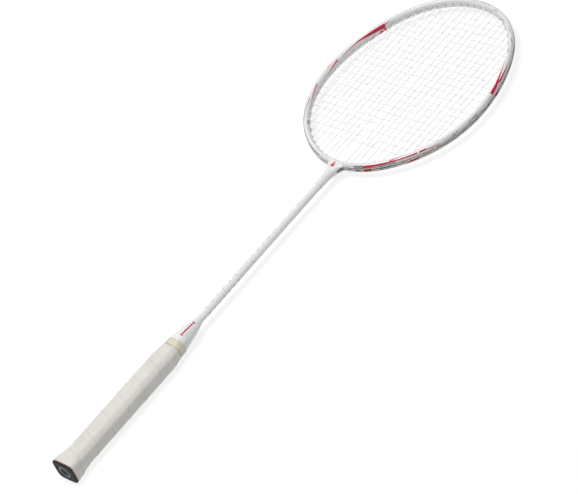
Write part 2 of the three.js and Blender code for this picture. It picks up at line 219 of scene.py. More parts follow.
def skin(name, rings, closed=False, material=None, sharp=40):
    rings = np.asarray(rings, float)
    faces = skin_faces(rings.shape[0], rings.shape[1], closed)
    return add_mesh(name, rings.reshape(-1, 3), faces, material, sharp)


def join_shells(name, shells):
    """One mesh from several capped skins."""
    points, faces, first = [], [], 0
    for rings in shells:
        faces += skin_faces(rings.shape[0], rings.shape[1], False, first)
        points.append(rings.reshape(-1, 3))
        first += rings.shape[0] * rings.shape[1]
    return add_mesh(name, np.concatenate(points), faces)


def cut(piece, tool, operation="DIFFERENCE"):
    """Applies a Boolean with the tool, and removes the tool."""
    modifier = piece.modifiers.new("cut", "BOOLEAN")
    modifier.operation = operation
    modifier.solver = "MANIFOLD"
    modifier.object = tool
    bpy.context.view_layer.update()
    evaluated = piece.evaluated_get(bpy.context.evaluated_depsgraph_get())
    made = bpy.data.meshes.new_from_object(evaluated)
    piece.modifiers.clear()
    old = piece.data
    piece.data = made
    bpy.data.meshes.remove(old)
    bpy.data.objects.remove(tool)


def place(piece, slot, *nodes):
    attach(piece, "root")
    if nodes:
        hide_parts(*nodes)
    return piece


def boxed(value, power):
    """A sine or cosine bent so that it draws a superellipse of this power in place of a circle."""
    return np.sign(value) * np.abs(value) ** (2 / power)


def ease(value):
    value = np.clip(value, 0, 1)
    return value * value * (3 - 2 * value)


# ---- the head's outline -------------------------------------------------------------------------


def inner_wall(angle):
    c = np.cos(angle)
    fullness = 1 - LOW_FULLNESS * c + TIP_SQUARENESS * c**3
    x = HEAD_MIDDLE_X + HEAD_HALF_LENGTH * c
    return np.stack([x, HEAD_HALF_WIDTH * np.sin(angle) * fullness, 0 * x], -1)


def along_hoop(angle):
    step = 1e-4
    along = inner_wall(angle + step) - inner_wall(angle - step)
    return along / np.linalg.norm(along, axis=-1, keepdims=True)


def out_of_hoop(angle):
    along = along_hoop(angle)
    return np.stack([along[..., 1], -along[..., 0], 0 * along[..., 0]], -1)


def hoop_point(angle, out, z=0.0):
    """A point at a distance out from the inner wall and a height above the middle plane."""
    angle = np.asarray(angle, float)
    point = inner_wall(angle) + out_of_hoop(angle) * np.asarray(out, float)[..., None]
    point[..., 2] += z
    return point


def arc_between(start, end):
    angles = np.linspace(start, end, 25)
    points = hoop_point(angles, HOOP_THICKNESS)
    return np.linalg.norm(np.diff(points, axis=0), axis=1).sum()


def even_angles(count):
    fine = np.linspace(0, FULL, 7201)
    steps = np.linalg.norm(np.diff(inner_wall(fine), axis=0), axis=1)
    length = np.concatenate([[0], np.cumsum(steps)])
    return np.interp(np.arange(count) * length[-1] / count, length, fine)


def solve_angle(low, high, measure):
    rising = measure(high) > measure(low)
    for _ in range(50):
        middle = (low + high) / 2
        if (measure(middle) > 0) == rising:
            high = middle
        else:
            low = middle
    return (low + high) / 2


# ---- string holes -------------------------------------------------------------------------------


def main_y(i):
    k = i - (STRING_COUNT - 1) / 2
    edge = 2 * k / (STRING_COUNT - 1)
    return MAIN_PITCH * k * (1 - MAIN_CROWDING * edge * edge)


def cross_x(j):
    return FIRST_CROSS_X + CROSS_PITCH * j


def half_holes():
    """Holes of the +Y half from tip to throat: string family, string number and angle."""
    widest = solve_angle(1, 2.4, lambda a: along_hoop(a)[1])
    half = STRING_COUNT // 2
    holes = []
    for number in range(half):
        y = main_y(half + number)
        low = THROAT_MAIN_Y[number] if number < len(THROAT_MAIN_Y) else y
        tip = solve_angle(0, widest, lambda a: hoop_point(a, STRING_TURN_IN)[1] - y)
        throat = solve_angle(widest, math.pi, lambda a: hoop_point(a, STRING_TURN_IN)[1] - low)
        holes.append(["main_tip", number, tip])
        holes.append(["main_throat", number, throat])
    for j in range(STRING_COUNT):
        x = cross_x(j)
        side = solve_angle(0, math.pi, lambda a: hoop_point(a, STRING_TURN_IN)[0] - x)
        holes.append(["cross", j, side])
    holes.sort(key=lambda hole: hole[2])
    spread_holes(holes)
    return holes


def spread_holes(holes):
    """Moves close neighbours apart until each pair has room for its two grommets."""
    for _ in range(40):
        for one, two in zip(holes, holes[1:]):
            arc = arc_between(one[2], two[2])
            if arc < HOLE_MIN_PITCH:
                push = (two[2] - one[2]) * (HOLE_MIN_PITCH - arc) / arc / 2
                one[2] -= push
                two[2] += push


left_holes = half_holes()
right_holes = [[family, number, FULL - angle] for family, number, angle in left_holes]


def layer_of(hole):
    return -LAYER if hole[0] == "cross" else LAYER


def hole_tools(name, holes, sizes, sides):
    """One mesh with a round rod in each hole."""
    return join_shells(name, [hole_rings(hole, sizes, sides) for hole in holes])


def hole_rings(hole, sizes, sides):
    """Round rings about a hole's axis, one for each (out, radius) pair."""
    along = along_hoop(hole[2])
    turn = np.arange(sides) * FULL / sides
    rings = []
    for out, radius in sizes:
        middle = hoop_point(hole[2], out, layer_of(hole))
        ring = middle + radius * np.cos(turn)[:, None] * along
        ring[:, 2] += radius * np.sin(turn)
        rings.append(ring)
    return np.array(rings)


# ---- materials ----------------------------------------------------------------------------------

WHITE = (0.61, 0.61, 0.6)
CRIMSON = (0.42, 0.002, 0.03)
DARK_RED = (0.2, 0.008, 0.02)
ROSE = (0.5, 0.11, 0.14)
SLATE = (0.2, 0.23, 0.26)


class Paint:
    """A material's node tree with short calls for its nodes."""

    def __init__(self, name, **sockets):
        self.material = bpy.data.materials.new(name)
        self.material.use_nodes = True
        self.tree = self.material.node_tree
        self.shader = self.tree.nodes["Principled BSDF"]
        for key, value in sockets.items():
            self.shader.inputs[key.replace("_", " ")].default_value = value

    def node(self, kind, inputs=(), **settings):
        made = self.tree.nodes.new(kind)
        for key, value in settings.items():
            setattr(made, key, value)
        for key, value in dict(inputs).items():
            if isinstance(value, bpy.types.NodeSocket):
                self.tree.links.new(value, made.inputs[key])
            else:
                made.inputs[key].default_value = value
        return made

    def math(self, operation, *values):
        return self.node("ShaderNodeMath", enumerate(values), operation=operation).outputs[0]

    def position(self, scale=(1, 1, 1)):
        """Object coordinates in millimetres, stretched by a scale."""
        where = self.node("ShaderNodeTexCoord").outputs["Object"]
        sizes = tuple(s / MM for s in scale)
        links = {"Vector": where, "Scale": sizes}
        return self.node("ShaderNodeMapping", links).outputs["Vector"]

    def noise(self, size, detail=3.0, rough=0.5, scale=(1, 1, 1)):
        """Noise whose largest lumps are about size millimetres wide."""
        links = {"Vector": self.position(scale), "Scale": 1 / size}
        links.update({"Detail": detail, "Roughness": rough})
        return self.node("ShaderNodeTexNoise", links).outputs["Fac"]

    def ramp(self, value, low, high, to_low=0.0, to_high=1.0):
        links = {"Value": value, "From Min": low, "From Max": high}
        links.update({"To Min": to_low, "To Max": to_high})
        return self.node("ShaderNodeMapRange", links).outputs["Result"]

    def blend(self, factor, one, two):
        made = self.node("ShaderNodeMix", data_type="RGBA")
        sockets = (made.inputs[0], made.inputs[6], made.inputs[7])
        for socket, value in zip(sockets, (factor, one, two)):
            if isinstance(value, bpy.types.NodeSocket):
                self.tree.links.new(value, socket)
            else:
                socket.default_value = value if isinstance(value, float) else (*value, 1)
        return made.outputs[2]

    def drive(self, socket, value):
        self.tree.links.new(value, self.shader.inputs[socket])

    def bump(self, height, strength, distance):
        links = {"Height": height, "Strength": strength, "Distance": distance * MM}
        self.drive("Normal", self.node("ShaderNodeBump", links).outputs["Normal"])

    def turn(self, name):
        """An angle in degrees from a mesh attribute that holds its cosine and sine."""
        held = self.node("ShaderNodeAttribute", attribute_name=name).outputs["Vector"]
        parts = self.node("ShaderNodeSeparateXYZ", {"Vector": held}).outputs
        return self.math("DEGREES", self.math("ARCTAN2", parts[1], parts[0]))

    def strokes(self, along, around, rows):
        """The union of tapered strokes: start and end along, middle and half width at each end."""
        total = 0.0
        for start, end, from_middle, to_middle, from_half, to_half in rows:
            stroke = self.node("ShaderNodeGroup", node_tree=stroke_group())
            values = (along, around, start, end - start, from_middle, to_middle - from_middle)
            for socket, value in zip(stroke.inputs, (*values, from_half, to_half - from_half)):
                if isinstance(value, bpy.types.NodeSocket):
                    self.tree.links.new(value, socket)
                else:
                    socket.default_value = value
            total = self.math("MAXIMUM", stroke.outputs[0], total)
        return total


def stroke_group():
    """A node group: 1 inside a tapered stroke, 0 outside it. Both measures wrap at 360."""
    if "stroke" in bpy.data.node_groups:
        return bpy.data.node_groups["stroke"]
    group = bpy.data.node_groups.new("stroke", "ShaderNodeTree")
    names = ["along", "around", "start", "length", "middle", "drift", "half", "taper"]
    for name in names:
        group.interface.new_socket(name, in_out="INPUT", socket_type="NodeSocketFloat")
    group.interface.new_socket("mask", in_out="OUTPUT", socket_type="NodeSocketFloat")
    given = dict(zip(names, group.nodes.new("NodeGroupInput").outputs))

    def step(operation, *values):
        made = group.nodes.new("ShaderNodeMath")
        made.operation = operation
        for socket, value in zip(made.inputs, values):
            if isinstance(value, bpy.types.NodeSocket):
                group.links.new(value, socket)
            else:
                socket.default_value = value
        return made.outputs[0]

    reach = step("WRAP", step("SUBTRACT", given["along"], given["start"]), 180, -180)
    part = step("DIVIDE", reach, given["length"])
    inside = step("LESS_THAN", step("ABSOLUTE", step("SUBTRACT", part, 0.5)), 0.5)
    middle = step("MULTIPLY_ADD", part, given["drift"], given["middle"])
    half = step("MULTIPLY_ADD", part, given["taper"], given["half"])
    off = step("ABSOLUTE", step("WRAP", step("SUBTRACT", given["around"], middle), 180, -180))
    mask = step("MULTIPLY", inside, step("LESS_THAN", off, half))
    group.links.new(mask, group.nodes.new("NodeGroupOutput").inputs[0])
    return group


# Marks on the hoop in degrees: angle round the head (0 tip, 180 throat), angle round the section
# (0 outside, 90 top, 180 inside) and half width there.
CRIMSON_MARKS = [
    (198, 202.5, 24, 34, 24, 20),
    (202.5, 213, 38, 50, 14, 8),
    (213, 227.5, 50, 54, 8, 11),
    (213, 220, 62, 98, 15, 2),
    (228.5, 232.5, 52, 54, 12, 9),
    (233, 239, 40, 36, 4, 2),
    (228, 233, 122, 126, 4, 3),
    (234.5, 241, 128, 132, 4, 2),
    (275, 283, 58, 76, 26, 22),
    (283, 299, 84, 132, 20, 3),
    (283, 295, 52, 48, 14, 3),
    (77, 59, 122, 150, 7, 30),
    (75, 87, 122, 140, 8, 2),
    (62, 56, 150, 128, 14, 3),
]
LOWER_CRIMSON_MARKS = [
    (198.5, 204, -20, -38, 16, 6),
    (221, 227.5, -34, -22, 8, 5),
    (277, 286, -30, -36, 10, 3),
]
ROSE_MARKS = [
    (303.5, 307, 96, 104, 12, 3),
    (311, 315, 58, 76, 10, 4),
    (331, 336, 128, 138, 8, 4),
    (342, 346, 108, 118, 8, 4),
    (90, 99, 128, 158, 14, 3),
    (108, 121, 110, 150, 12, 3),
    (92, 97, 78, 92, 4, 8),
    (320, 326, 84, 92, 7, 3),
]
DARK_MARKS = [
    (119, 134, 106, 58, 6, 6),
    (135, 137.5, 138, 138, 10, 10),
    (134, 166, 46, 46, 6, 7),
]
SLATE_MARKS = [
    (193, 198, 36, 42, 20, 14),
    (207, 216, 28, 34, 7, 8),
    (246, 250, 34, 40, 8, 3),
    (256, 262, 40, 36, 4, 9),
]
TIP_DASHES = [(start, start + 1.9, 90, 90, 6, 6) for start in np.arange(-10, 20, 2.9)]


def hoop_paint():
    """Pearl white above and below, a darker grey on the outer wall as painted shade, with painted
    strokes on top.
    """
    paint = Paint("hoop_paint", Roughness=0.32, Coat_Weight=0.2, Coat_Roughness=0.1)
    paint.shader.inputs["Specular IOR Level"].default_value = 0.4
    around = paint.turn("section_turn")
    both_faces = paint.math("ABSOLUTE", around)
    along = paint.turn("hoop_turn")
    mottle = paint.noise(14, 4)
    pearl = paint.blend(paint.ramp(mottle, 0.35, 0.7), WHITE, (0.56, 0.575, 0.59))
    # painted shade: the outer wall all round gets a darker grey, standing in for the shade it gets
    # under the overhead key light
    side = paint.ramp(both_faces, 74, 44)
    shaded_outer_grey = paint.blend(paint.ramp(mottle, 0.3, 0.7), (0.47, 0.47, 0.47), (0.55, 0.55, 0.54))
    colour = paint.blend(side, pearl, shaded_outer_grey)
    layers = [
        (both_faces, SLATE_MARKS, SLATE),
        (both_faces, ROSE_MARKS, ROSE),
        (both_faces, DARK_MARKS, DARK_RED),
        (both_faces, TIP_DASHES, ROSE),
        (both_faces, CRIMSON_MARKS, CRIMSON),
        (around, LOWER_CRIMSON_MARKS, CRIMSON),
    ]
    for across, marks, tint in layers:
        colour = paint.blend(paint.strokes(along, across, marks), colour, tint)
    scuffs = paint.ramp(paint.noise(3.0, 6, 0.7), 0.66, 0.74)
    colour = paint.blend(paint.math("MULTIPLY", scuffs, 0.16), colour, (0.45, 0.44, 0.42))
    paint.drive("Base Color", colour)
    paint.drive("Roughness", paint.ramp(paint.noise(5, 4), 0.3, 0.7, 0.22, 0.38))
    paint.bump(paint.noise(1.6, 2), 0.08, 0.05)
    return paint.material


def shaft_paint(name, marks, low_marks=(), tint=CRIMSON):
    """Gloss white with marks given by X in millimetres and the angle round the shaft."""
    paint = Paint(name, Roughness=0.3, Coat_Weight=0.2, Coat_Roughness=0.1)
    parts = paint.node("ShaderNodeSeparateXYZ", {"Vector": paint.position()}).outputs
    around = paint.math("DEGREES", paint.math("ARCTAN2", parts[2], parts[1]))
    white = paint.blend(paint.ramp(paint.noise(9, 4), 0.35, 0.7), WHITE, (0.57, 0.58, 0.58))
    for rows, colour in ((low_marks, SLATE), (marks, tint)):
        if rows:
            white = paint.blend(paint.strokes(parts[0], around, rows), white, colour)
    paint.drive("Base Color", white)
    paint.drive("Roughness", paint.ramp(paint.noise(4, 4), 0.3, 0.7, 0.2, 0.36))
    paint.bump(paint.noise(1.4, 2), 0.07, 0.05)
    return paint.material


def throat_paint():
    """Gloss white with an arrowhead above and below."""
    paint = Paint("throat_paint", Roughness=0.3, Coat_Weight=0.2, Coat_Roughness=0.1)
    parts = paint.node("ShaderNodeSeparateXYZ", {"Vector": paint.position()}).outputs
    white = paint.blend(paint.ramp(paint.noise(9, 4), 0.35, 0.7), WHITE, (0.57, 0.58, 0.58))
    arrow = [(416.5, 424.5, 0, 0, 2.6, 0.2)]
    facing = paint.math("GREATER_THAN", paint.math("ABSOLUTE", parts[2]), 2.6)
    mask = paint.math("MULTIPLY", paint.strokes(parts[0], parts[1], arrow), facing)
    paint.drive("Base Color", paint.blend(mask, white, CRIMSON))
    paint.drive("Roughness", paint.ramp(paint.noise(4, 4), 0.3, 0.7, 0.2, 0.36))
    paint.bump(paint.noise(1.4, 2), 0.07, 0.05)
    return paint.material


def plastic(name, colour, other, rough, grain=0.5, size=6.0, **sockets):
    """Moulded or drawn plastic: two close tones, uneven gloss and a fine grain."""
    paint = Paint(name, Roughness=rough, **sockets)
    paint.drive("Base Color", paint.blend(paint.ramp(paint.noise(size, 4), 0.3, 0.7), colour, other))
    gloss = paint.ramp(paint.noise(size / 2, 4), 0.3, 0.7, rough - 0.07, rough + 0.07)
    paint.drive("Roughness", gloss)
    paint.bump(paint.noise(0.5, 3), 0.25 * grain, 0.05)
    return paint.material


def grommet_nylon():
    """Beige nylon at the holes, paler along the web, where the hoop's lacquer went over it."""
    paint = Paint("grommet_nylon", Roughness=0.45)
    collar = paint.node("ShaderNodeAttribute", attribute_name="collar").outputs["Fac"]
    beige = paint.blend(paint.ramp(paint.noise(3, 4), 0.3, 0.7), (0.5, 0.42, 0.28), (0.4, 0.33, 0.22))
    paint.drive("Base Color", paint.blend(collar, (0.5, 0.485, 0.44), beige))
    paint.drive("Roughness", paint.ramp(paint.noise(2, 4), 0.3, 0.7, 0.38, 0.52))
    paint.bump(paint.noise(0.5, 3), 0.12, 0.05)
    return paint.material


def wood():
    paint = Paint("handle_wood", Roughness=0.62)
    rings = paint.node("ShaderNodeTexWave", {"Vector": paint.position((0.03, 1, 1)), "Scale": 0.3})
    rings.inputs["Distortion"].default_value = 5
    rings.inputs["Detail"].default_value = 3
    grain = paint.ramp(rings.outputs["Fac"], 0.2, 0.9)
    paint.drive("Base Color", paint.blend(grain, (0.55, 0.36, 0.18), (0.68, 0.49, 0.28)))
    paint.bump(rings.outputs["Fac"], 0.3, 0.1)
    return paint.material


def grip_leather():
    """Soft off-white wrap: pebble grain, small pores, and hand wear where it is held."""
    paint = Paint("grip_leather", Roughness=0.72, Sheen_Weight=0.25, Sheen_Roughness=0.6)
    seam = paint.node("ShaderNodeAttribute", attribute_name="seam").outputs["Fac"]
    clouds = paint.ramp(paint.noise(16, 5, 0.6), 0.3, 0.7)
    colour = paint.blend(clouds, (0.56, 0.545, 0.51), (0.52, 0.505, 0.47))
    worn = paint.math("MULTIPLY", paint.ramp(paint.noise(7, 5, 0.65), 0.55, 0.75), 0.35)
    colour = paint.blend(worn, colour, (0.46, 0.44, 0.4))
    colour = paint.blend(paint.math("MULTIPLY", seam, 0.25), colour, (0.3, 0.29, 0.27))
    paint.drive("Base Color", colour)
    links = {"Vector": paint.position(), "Scale": 1.1, "Randomness": 0.9}
    cells = paint.node("ShaderNodeTexVoronoi", links, feature="DISTANCE_TO_EDGE").outputs["Distance"]
    pebble = paint.ramp(cells, 0.0, 0.25)
    links = {"Vector": paint.position(), "Scale": 0.42, "Randomness": 0.15}
    pores = paint.node("ShaderNodeTexVoronoi", links).outputs["Distance"]
    pore = paint.ramp(pores, 0.08, 0.16)
    height = paint.math("MULTIPLY_ADD", pore, 0.8, pebble)
    height = paint.math("MULTIPLY_ADD", paint.noise(2.4, 4), 0.8, height)
    paint.bump(height, 0.35, 0.12)
    paint.drive("Roughness", paint.ramp(clouds, 0, 1, 0.66, 0.8))
    return paint.material


def tape_cloth():
    """Cream finishing tape: a fine woven backing under a soft gloss."""
    paint = Paint("tape_cloth", Roughness=0.5, Coat_Weight=0.15, Coat_Roughness=0.3)
    parts = paint.node("ShaderNodeSeparateXYZ", {"Vector": paint.position()}).outputs
    around = paint.math("MULTIPLY", paint.math("ARCTAN2", parts[2], parts[1]), 9)
    warp = paint.math("SINE", paint.math("MULTIPLY", parts[0], 9))
    weft = paint.math("SINE", paint.math("MULTIPLY", around, 9))
    weave = paint.math("MULTIPLY", warp, weft)
    creases = paint.noise(3.0, 5, 0.6, (1, 0.5, 0.5))
    colour = paint.blend(paint.ramp(creases, 0.35, 0.7), (0.56, 0.51, 0.39), (0.46, 0.42, 0.32))
    paint.drive("Base Color", colour)
    paint.bump(paint.math("MULTIPLY_ADD", creases, 3.0, weave), 0.3, 0.08)
    return paint.material


def floor_paint():
    """A plain pale floor with a little light of its own, so that shadows on it stay faint."""
    paint = Paint("studio_floor", Roughness=0.9, Emission_Strength=0.8)
    paint.shader.inputs["Emission Color"].default_value = (1, 1, 1, 1)
    links = {"Vector": paint.position(), "Scale": 0.004, "Detail": 2}
    soft = paint.node("ShaderNodeTexNoise", links).outputs["Fac"]
    paint.drive("Base Color", paint.blend(soft, (0.15, 0.15, 0.15), (0.17, 0.17, 0.17)))
    return paint.material


# ---- head pieces --------------------------------------------------------------------------------


def hoop_section():
    """The hoop's outline with its groove: (out, z) pairs going round from the groove's floor."""
    lip_turn = math.asin((GROOVE_LIP_HALF_WIDTH / HOOP_HALF_DEPTH) ** (SECTION_POWER / 2))
    turn = np.linspace(lip_turn, FULL - lip_turn, 45)
    out = HOOP_THICKNESS / 2 * (1 + boxed(np.cos(turn), SECTION_POWER))
    z = HOOP_HALF_DEPTH * boxed(np.sin(turn), SECTION_POWER)
    arc = np.stack([out, z], -1)
    lip_out = arc[0, 0]
    half = [(GROOVE_FLOOR, 0.7), (GROOVE_FLOOR + 0.05, GROOVE_HALF_WIDTH - 0.25)]
    half += [(GROOVE_FLOOR + 0.3, GROOVE_HALF_WIDTH)]
    half += [(lip_out - 0.35, GROOVE_LIP_HALF_WIDTH - 0.22)]
    half += [(lip_out - 0.08, GROOVE_LIP_HALF_WIDTH - 0.12)]
    start = np.array(half)
    return np.concatenate([start, arc, (start * (1, -1))[::-1]])


def mark_turns(piece):
    """Stores each point's angle round the head and round the section as cosine and sine."""
    angles = np.linspace(0, FULL, 14400, endpoint=False)
    outline = hoop_point(angles, HOOP_THICKNESS / 2)
    tree = kdtree.KDTree(len(angles))
    for i, point in enumerate(outline):
        tree.insert(Vector(point), i)
    tree.balance()
    mesh = piece.data
    points = np.empty(len(mesh.vertices) * 3)
    mesh.vertices.foreach_get("co", points)
    points = points.reshape(-1, 3) / MM
    flat = points * (1, 1, 0)
    found = angles[[tree.find(Vector(p))[1] for p in flat]]
    off = ((points - hoop_point(found, HOOP_THICKNESS / 2)) * out_of_hoop(found)).sum(1)
    section = np.arctan2(points[:, 2] / HOOP_HALF_DEPTH, off / (HOOP_THICKNESS / 2))
    for name, turn in (("hoop_turn", found), ("section_turn", section)):
        held = mesh.attributes.new(name, "FLOAT_VECTOR", "POINT")
        values = np.stack([np.cos(turn), np.sin(turn), 0 * turn], -1)
        held.data.foreach_set("vector", values.astype(np.float32).ravel())


def make_hoop():
    """The carbon hoop: a grooved section swept round the head and drilled for the strings."""
    section = hoop_section()
    angles = even_angles(HOOP_STATIONS)
    rings = [hoop_point(np.full(len(section), a), section[:, 0], section[:, 1]) for a in angles]
    hoop = skin("racket_hoop", rings, closed=True)
    holes = left_holes + right_holes
    sizes = [(-2, HOLE_RADIUS), (HOOP_THICKNESS + 1, HOLE_RADIUS)]
    cut(hoop, hole_tools("holes", holes, sizes, 20))
    hoop.data.materials.clear()
    hoop.data.materials.append(hoop_paint())
    smooth(hoop.data, 34)
    mark_turns(hoop)
    place(hoop, "frame_paint", "head_frame")


def grommet_web(holes):
    """The strip in the groove, with rounded long edges and a swelling round every hole."""
    overhang = WEB_OVERHANG / arc_between(holes[0][2], holes[0][2] + 1)
    start, end = holes[0][2] - overhang, holes[-1][2] + overhang
    count = int(arc_between(start, end) / 0.55)
    angles = np.linspace(start, end, count)
    near = np.min([np.abs(arc_lengths(angles, h[2])) for h in holes], axis=0)
    swell = ease(1.9 - near / 0.95)
    tip = np.minimum(np.arange(count), np.arange(count)[::-1])
    narrow = np.where(tip == 0, 0.75, np.where(tip == 1, 0.93, 1.0))
    turn = (np.arange(16) + 0.5) * FULL / 16
    rings = []
    for angle, grow, thin in zip(angles, swell, narrow):
        wide = WEB_NARROW_HALF_WIDTH + (WEB_HALF_WIDTH - WEB_NARROW_HALF_WIDTH) * grow
        high = (WEB_OUT - WEB_IN) / 2 + 0.09 * grow
        out = WEB_IN + high * (1 + boxed(np.sin(turn), 4))
        rings.append(hoop_point(np.full(16, angle), out, wide * thin * boxed(np.cos(turn), 4)))
    return rings


def mark_collars(strip, holes):
    """Stores how near each point is to a hole: 1 at its rim, 0 on the web between holes."""
    mesh = strip.data
    points = np.empty(len(mesh.vertices) * 3)
    mesh.vertices.foreach_get("co", points)
    points = points.reshape(-1, 3) / MM
    rims = np.array([hoop_point(h[2], WEB_OUT) for h in holes])
    near = np.linalg.norm((points[:, None] - rims[None])[:, :, :2], axis=2).min(1)
    held = mesh.attributes.new("collar", "FLOAT", "POINT")
    value = np.where(near > COLLAR_RADIUS, 0, ease((2.4 - near) / 0.8))
    held.data.foreach_set("value", value.astype(np.float32))


def arc_lengths(angles, centre):
    """Distance along the groove from a hole, in millimetres."""
    scale = arc_between(centre - 0.01, centre + 0.01) / 0.02
    return (angles - centre) * scale


def make_grommets():
    """Sixteen strips: a web in the groove with a bored barrel in every hole."""
    nylon = grommet_nylon()
    barrel = [(WEB_IN + 0.1, BARREL_RADIUS), (0.15, BARREL_RADIUS), (-0.05, BARREL_RADIUS + 0.02)]
    barrel += [(BARREL_STUB + 0.25, BARREL_RADIUS), (BARREL_STUB, BARREL_RADIUS - 0.16)]
    bore = [(-2, BORE_RADIUS + 0.3), (BARREL_STUB, BORE_RADIUS + 0.18)]
    bore += [(BARREL_STUB + 0.4, BORE_RADIUS), (WEB_OUT - 0.1, BORE_RADIUS)]
    bore += [(WEB_OUT + 0.3, BORE_RADIUS + 0.25), (8, BORE_RADIUS + 0.25)]
    for side, side_holes in (("left", left_holes), ("right", right_holes)):
        for first in range(0, len(side_holes), HOLES_PER_STRIP):
            holes = sorted(side_holes[first : first + HOLES_PER_STRIP], key=lambda h: h[2])
            node = f"grommet_strip_{side}_{1 + first // HOLES_PER_STRIP}"
            strip = skin(f"{node}_detail", grommet_web(holes))
            cut(strip, hole_tools("barrels", holes, barrel, 24), "UNION")
            cut(strip, hole_tools("bores", holes, bore, 24))
            strip.data.materials.clear()
            strip.data.materials.append(nylon)
            smooth(strip.data, 40)
            mark_collars(strip, holes)
            place(strip, "grommet_nylon", node)


# ---- strings ------------------------------------------------------------------------------------


def hole_of(family, number, left):
    for hole in left_holes if left else right_holes:
        if hole[0] == family and hole[1] == number:
            return hole
    return None


def rounded(points, radius, steps=6):
    """A route whose corners are turned into short arcs."""
    points = [np.asarray(p, float) for p in points]
    made = [points[0]]
    for before, here, after in zip(points, points[1:], points[2:]):
        arrive, leave = before - here, after - here
        reach_in, reach_out = np.linalg.norm(arrive), np.linalg.norm(leave)
        bend = arrive @ leave / (reach_in * reach_out)
        if bend < -0.985:
            made.append(here)
            continue
        pull = min(radius, 0.45 * reach_in, 0.45 * reach_out)
        start, end = here + arrive / reach_in * pull, here + leave / reach_out * pull
        for t in np.linspace(0, 1, steps):
            made.append((1 - t) ** 2 * start + 2 * t * (1 - t) * here + t * t * end)
    made.append(points[-1])
    return np.array(made)


def main_ends(row):
    """The two holes of a main, counted from the -Y side: throat hole, then tip hole."""
    half = STRING_COUNT // 2
    left = row >= half
    number = row - half if left else half - 1 - row
    return [hole_of("main_throat", number, left), hole_of("main_tip", number, left)]


def crossing_places(is_main, number):
    """Where a string meets the others: X along a main, Y along a cross."""
    if is_main:
        return [cross_x(j) for j in range(STRING_COUNT)]
    places = []
    for row in range(STRING_COUNT):
        throat, tip = (hoop_point(hole[2], STRING_TURN_IN) for hole in main_ends(row))
        part = (cross_x(number) - throat[0]) / (tip[0] - throat[0])
        places.append(throat[1] + (tip[1] - throat[1]) * part)
    return places


def bed_run(start, end, is_main, number):
    """A string's stretch across the bed, over and under the strings that it crosses."""
    a = hoop_point(start[2], STRING_TURN_IN, layer_of(start))
    b = hoop_point(end[2], STRING_TURN_IN, layer_of(end))
    along = 0 if is_main else 1
    crossings = crossing_places(is_main, number)
    low, high = sorted((a[along], b[along]))
    marks = [(c, k) for k, c in enumerate(crossings) if low + 1.5 < c < high - 1.5]
    if a[along] > b[along]:
        marks.reverse()
    stations = [(a[along], a[2])]
    for c, k in marks:
        over = 1 if (k + number) % 2 == 0 else -1
        stations.append((c, WEAVE * over * (1 if is_main else -1)))
    stations.append((b[along], b[2]))
    points = []
    for (p, z), (q, w) in zip(stations, stations[1:]):
        for t in np.arange(5) / 5:
            where = p + (q - p) * t
            part = (where - a[along]) / (b[along] - a[along])
            point = a + (b - a) * part
            point[2] = z + (w - z) * (1 - math.cos(math.pi * t)) / 2
            points.append(point)
    points.append(b)
    return points


def groove_pass(start, end):
    """The outside pass along the groove from one hole to the next, the short way round."""
    turn = end[2] - start[2]
    turn -= FULL * round(turn / FULL)
    steps = max(2, math.ceil(arc_between(start[2], start[2] + turn) / 2.5))
    points = []
    for t in np.linspace(0, 1, steps + 1):
        z = layer_of(start) + (layer_of(end) - layer_of(start)) * t
        points.append(hoop_point(start[2] + turn * t, PASS_OUT, z))
    return points


def knot_turns(hole, turn_way):
    """About two and a half turns round the neighbouring pass, where a string is tied off."""
    turns = np.linspace(0, 2.6, 27)
    scale = arc_between(hole[2], hole[2] + 0.02) / 0.02
    points = []
    for t in turns:
        shift = turn_way * (0.9 + 0.62 * t) / scale
        out = PASS_OUT - 0.02 + 0.42 * math.cos(FULL * t)
        points.append(hoop_point(hole[2] + shift, out, layer_of(hole) + 0.62 * math.sin(FULL * t)))
    return points


def serpentine(runs, is_main, knots):
    """A string's whole route: its runs across the bed, the passes between them and two knots."""
    route = []
    for i, (start, end, number) in enumerate(runs):
        if i > 0:
            route += groove_pass(runs[i - 1][1], start)
        else:
            route += knot_turns(start, knots[0])[::-1]
            route.append(hoop_point(start[2], PASS_OUT, layer_of(start)))
        route += bed_run(start, end, is_main, number)
    last = runs[-1][1]
    route += [hoop_point(last[2], PASS_OUT, layer_of(last))] + knot_turns(last, knots[1])
    return rounded(route, 0.55, 5)


def cord_rings(path, radius, sides=8):
    """Rings along a path, turned as little as possible from one to the next."""
    keep = np.concatenate([[True], np.linalg.norm(np.diff(path, axis=0), axis=1) > 0.02])
    path = path[keep]
    heading = np.gradient(path, axis=0)
    heading /= np.linalg.norm(heading, axis=1, keepdims=True)
    side = np.cross(heading[0], (0, 0, 1.0))
    side /= np.linalg.norm(side)
    turn = np.arange(sides) * FULL / sides
    rings = []
    for point, ahead in zip(path, heading):
        side = side - ahead * (side @ ahead)
        side /= np.linalg.norm(side)
        up = np.cross(side, ahead)
        rings.append(point + radius * (np.cos(turn)[:, None] * side + np.sin(turn)[:, None] * up))
    return np.array(rings)


def make_strings():
    """Two woven strings, one for the mains and one for the crosses."""
    gut = plastic("string_nylon", (0.76, 0.76, 0.75), (0.7, 0.72, 0.71), 0.36, 0.8, 3.0)
    mains, crosses = [], []
    for i in range(STRING_COUNT):
        row = STRING_COUNT - 1 - i
        ends = main_ends(row)
        mains.append((*(ends if i % 2 == 0 else ends[::-1]), row))
        ends = [hole_of("cross", i, True), hole_of("cross", i, False)]
        crosses.append((*(ends if i % 2 == 0 else ends[::-1]), i))
    for name, runs, is_main in (("main", mains, True), ("cross", crosses, False)):
        path = serpentine(runs, is_main, (1, -1) if is_main else (-1, 1))
        node = f"{name}_string"
        cord = skin(f"{node}_woven", cord_rings(path, STRING_RADIUS), material=gut, sharp=60)
        place(cord, "string_nylon", node)


# ---- shaft and throat ---------------------------------------------------------------------------


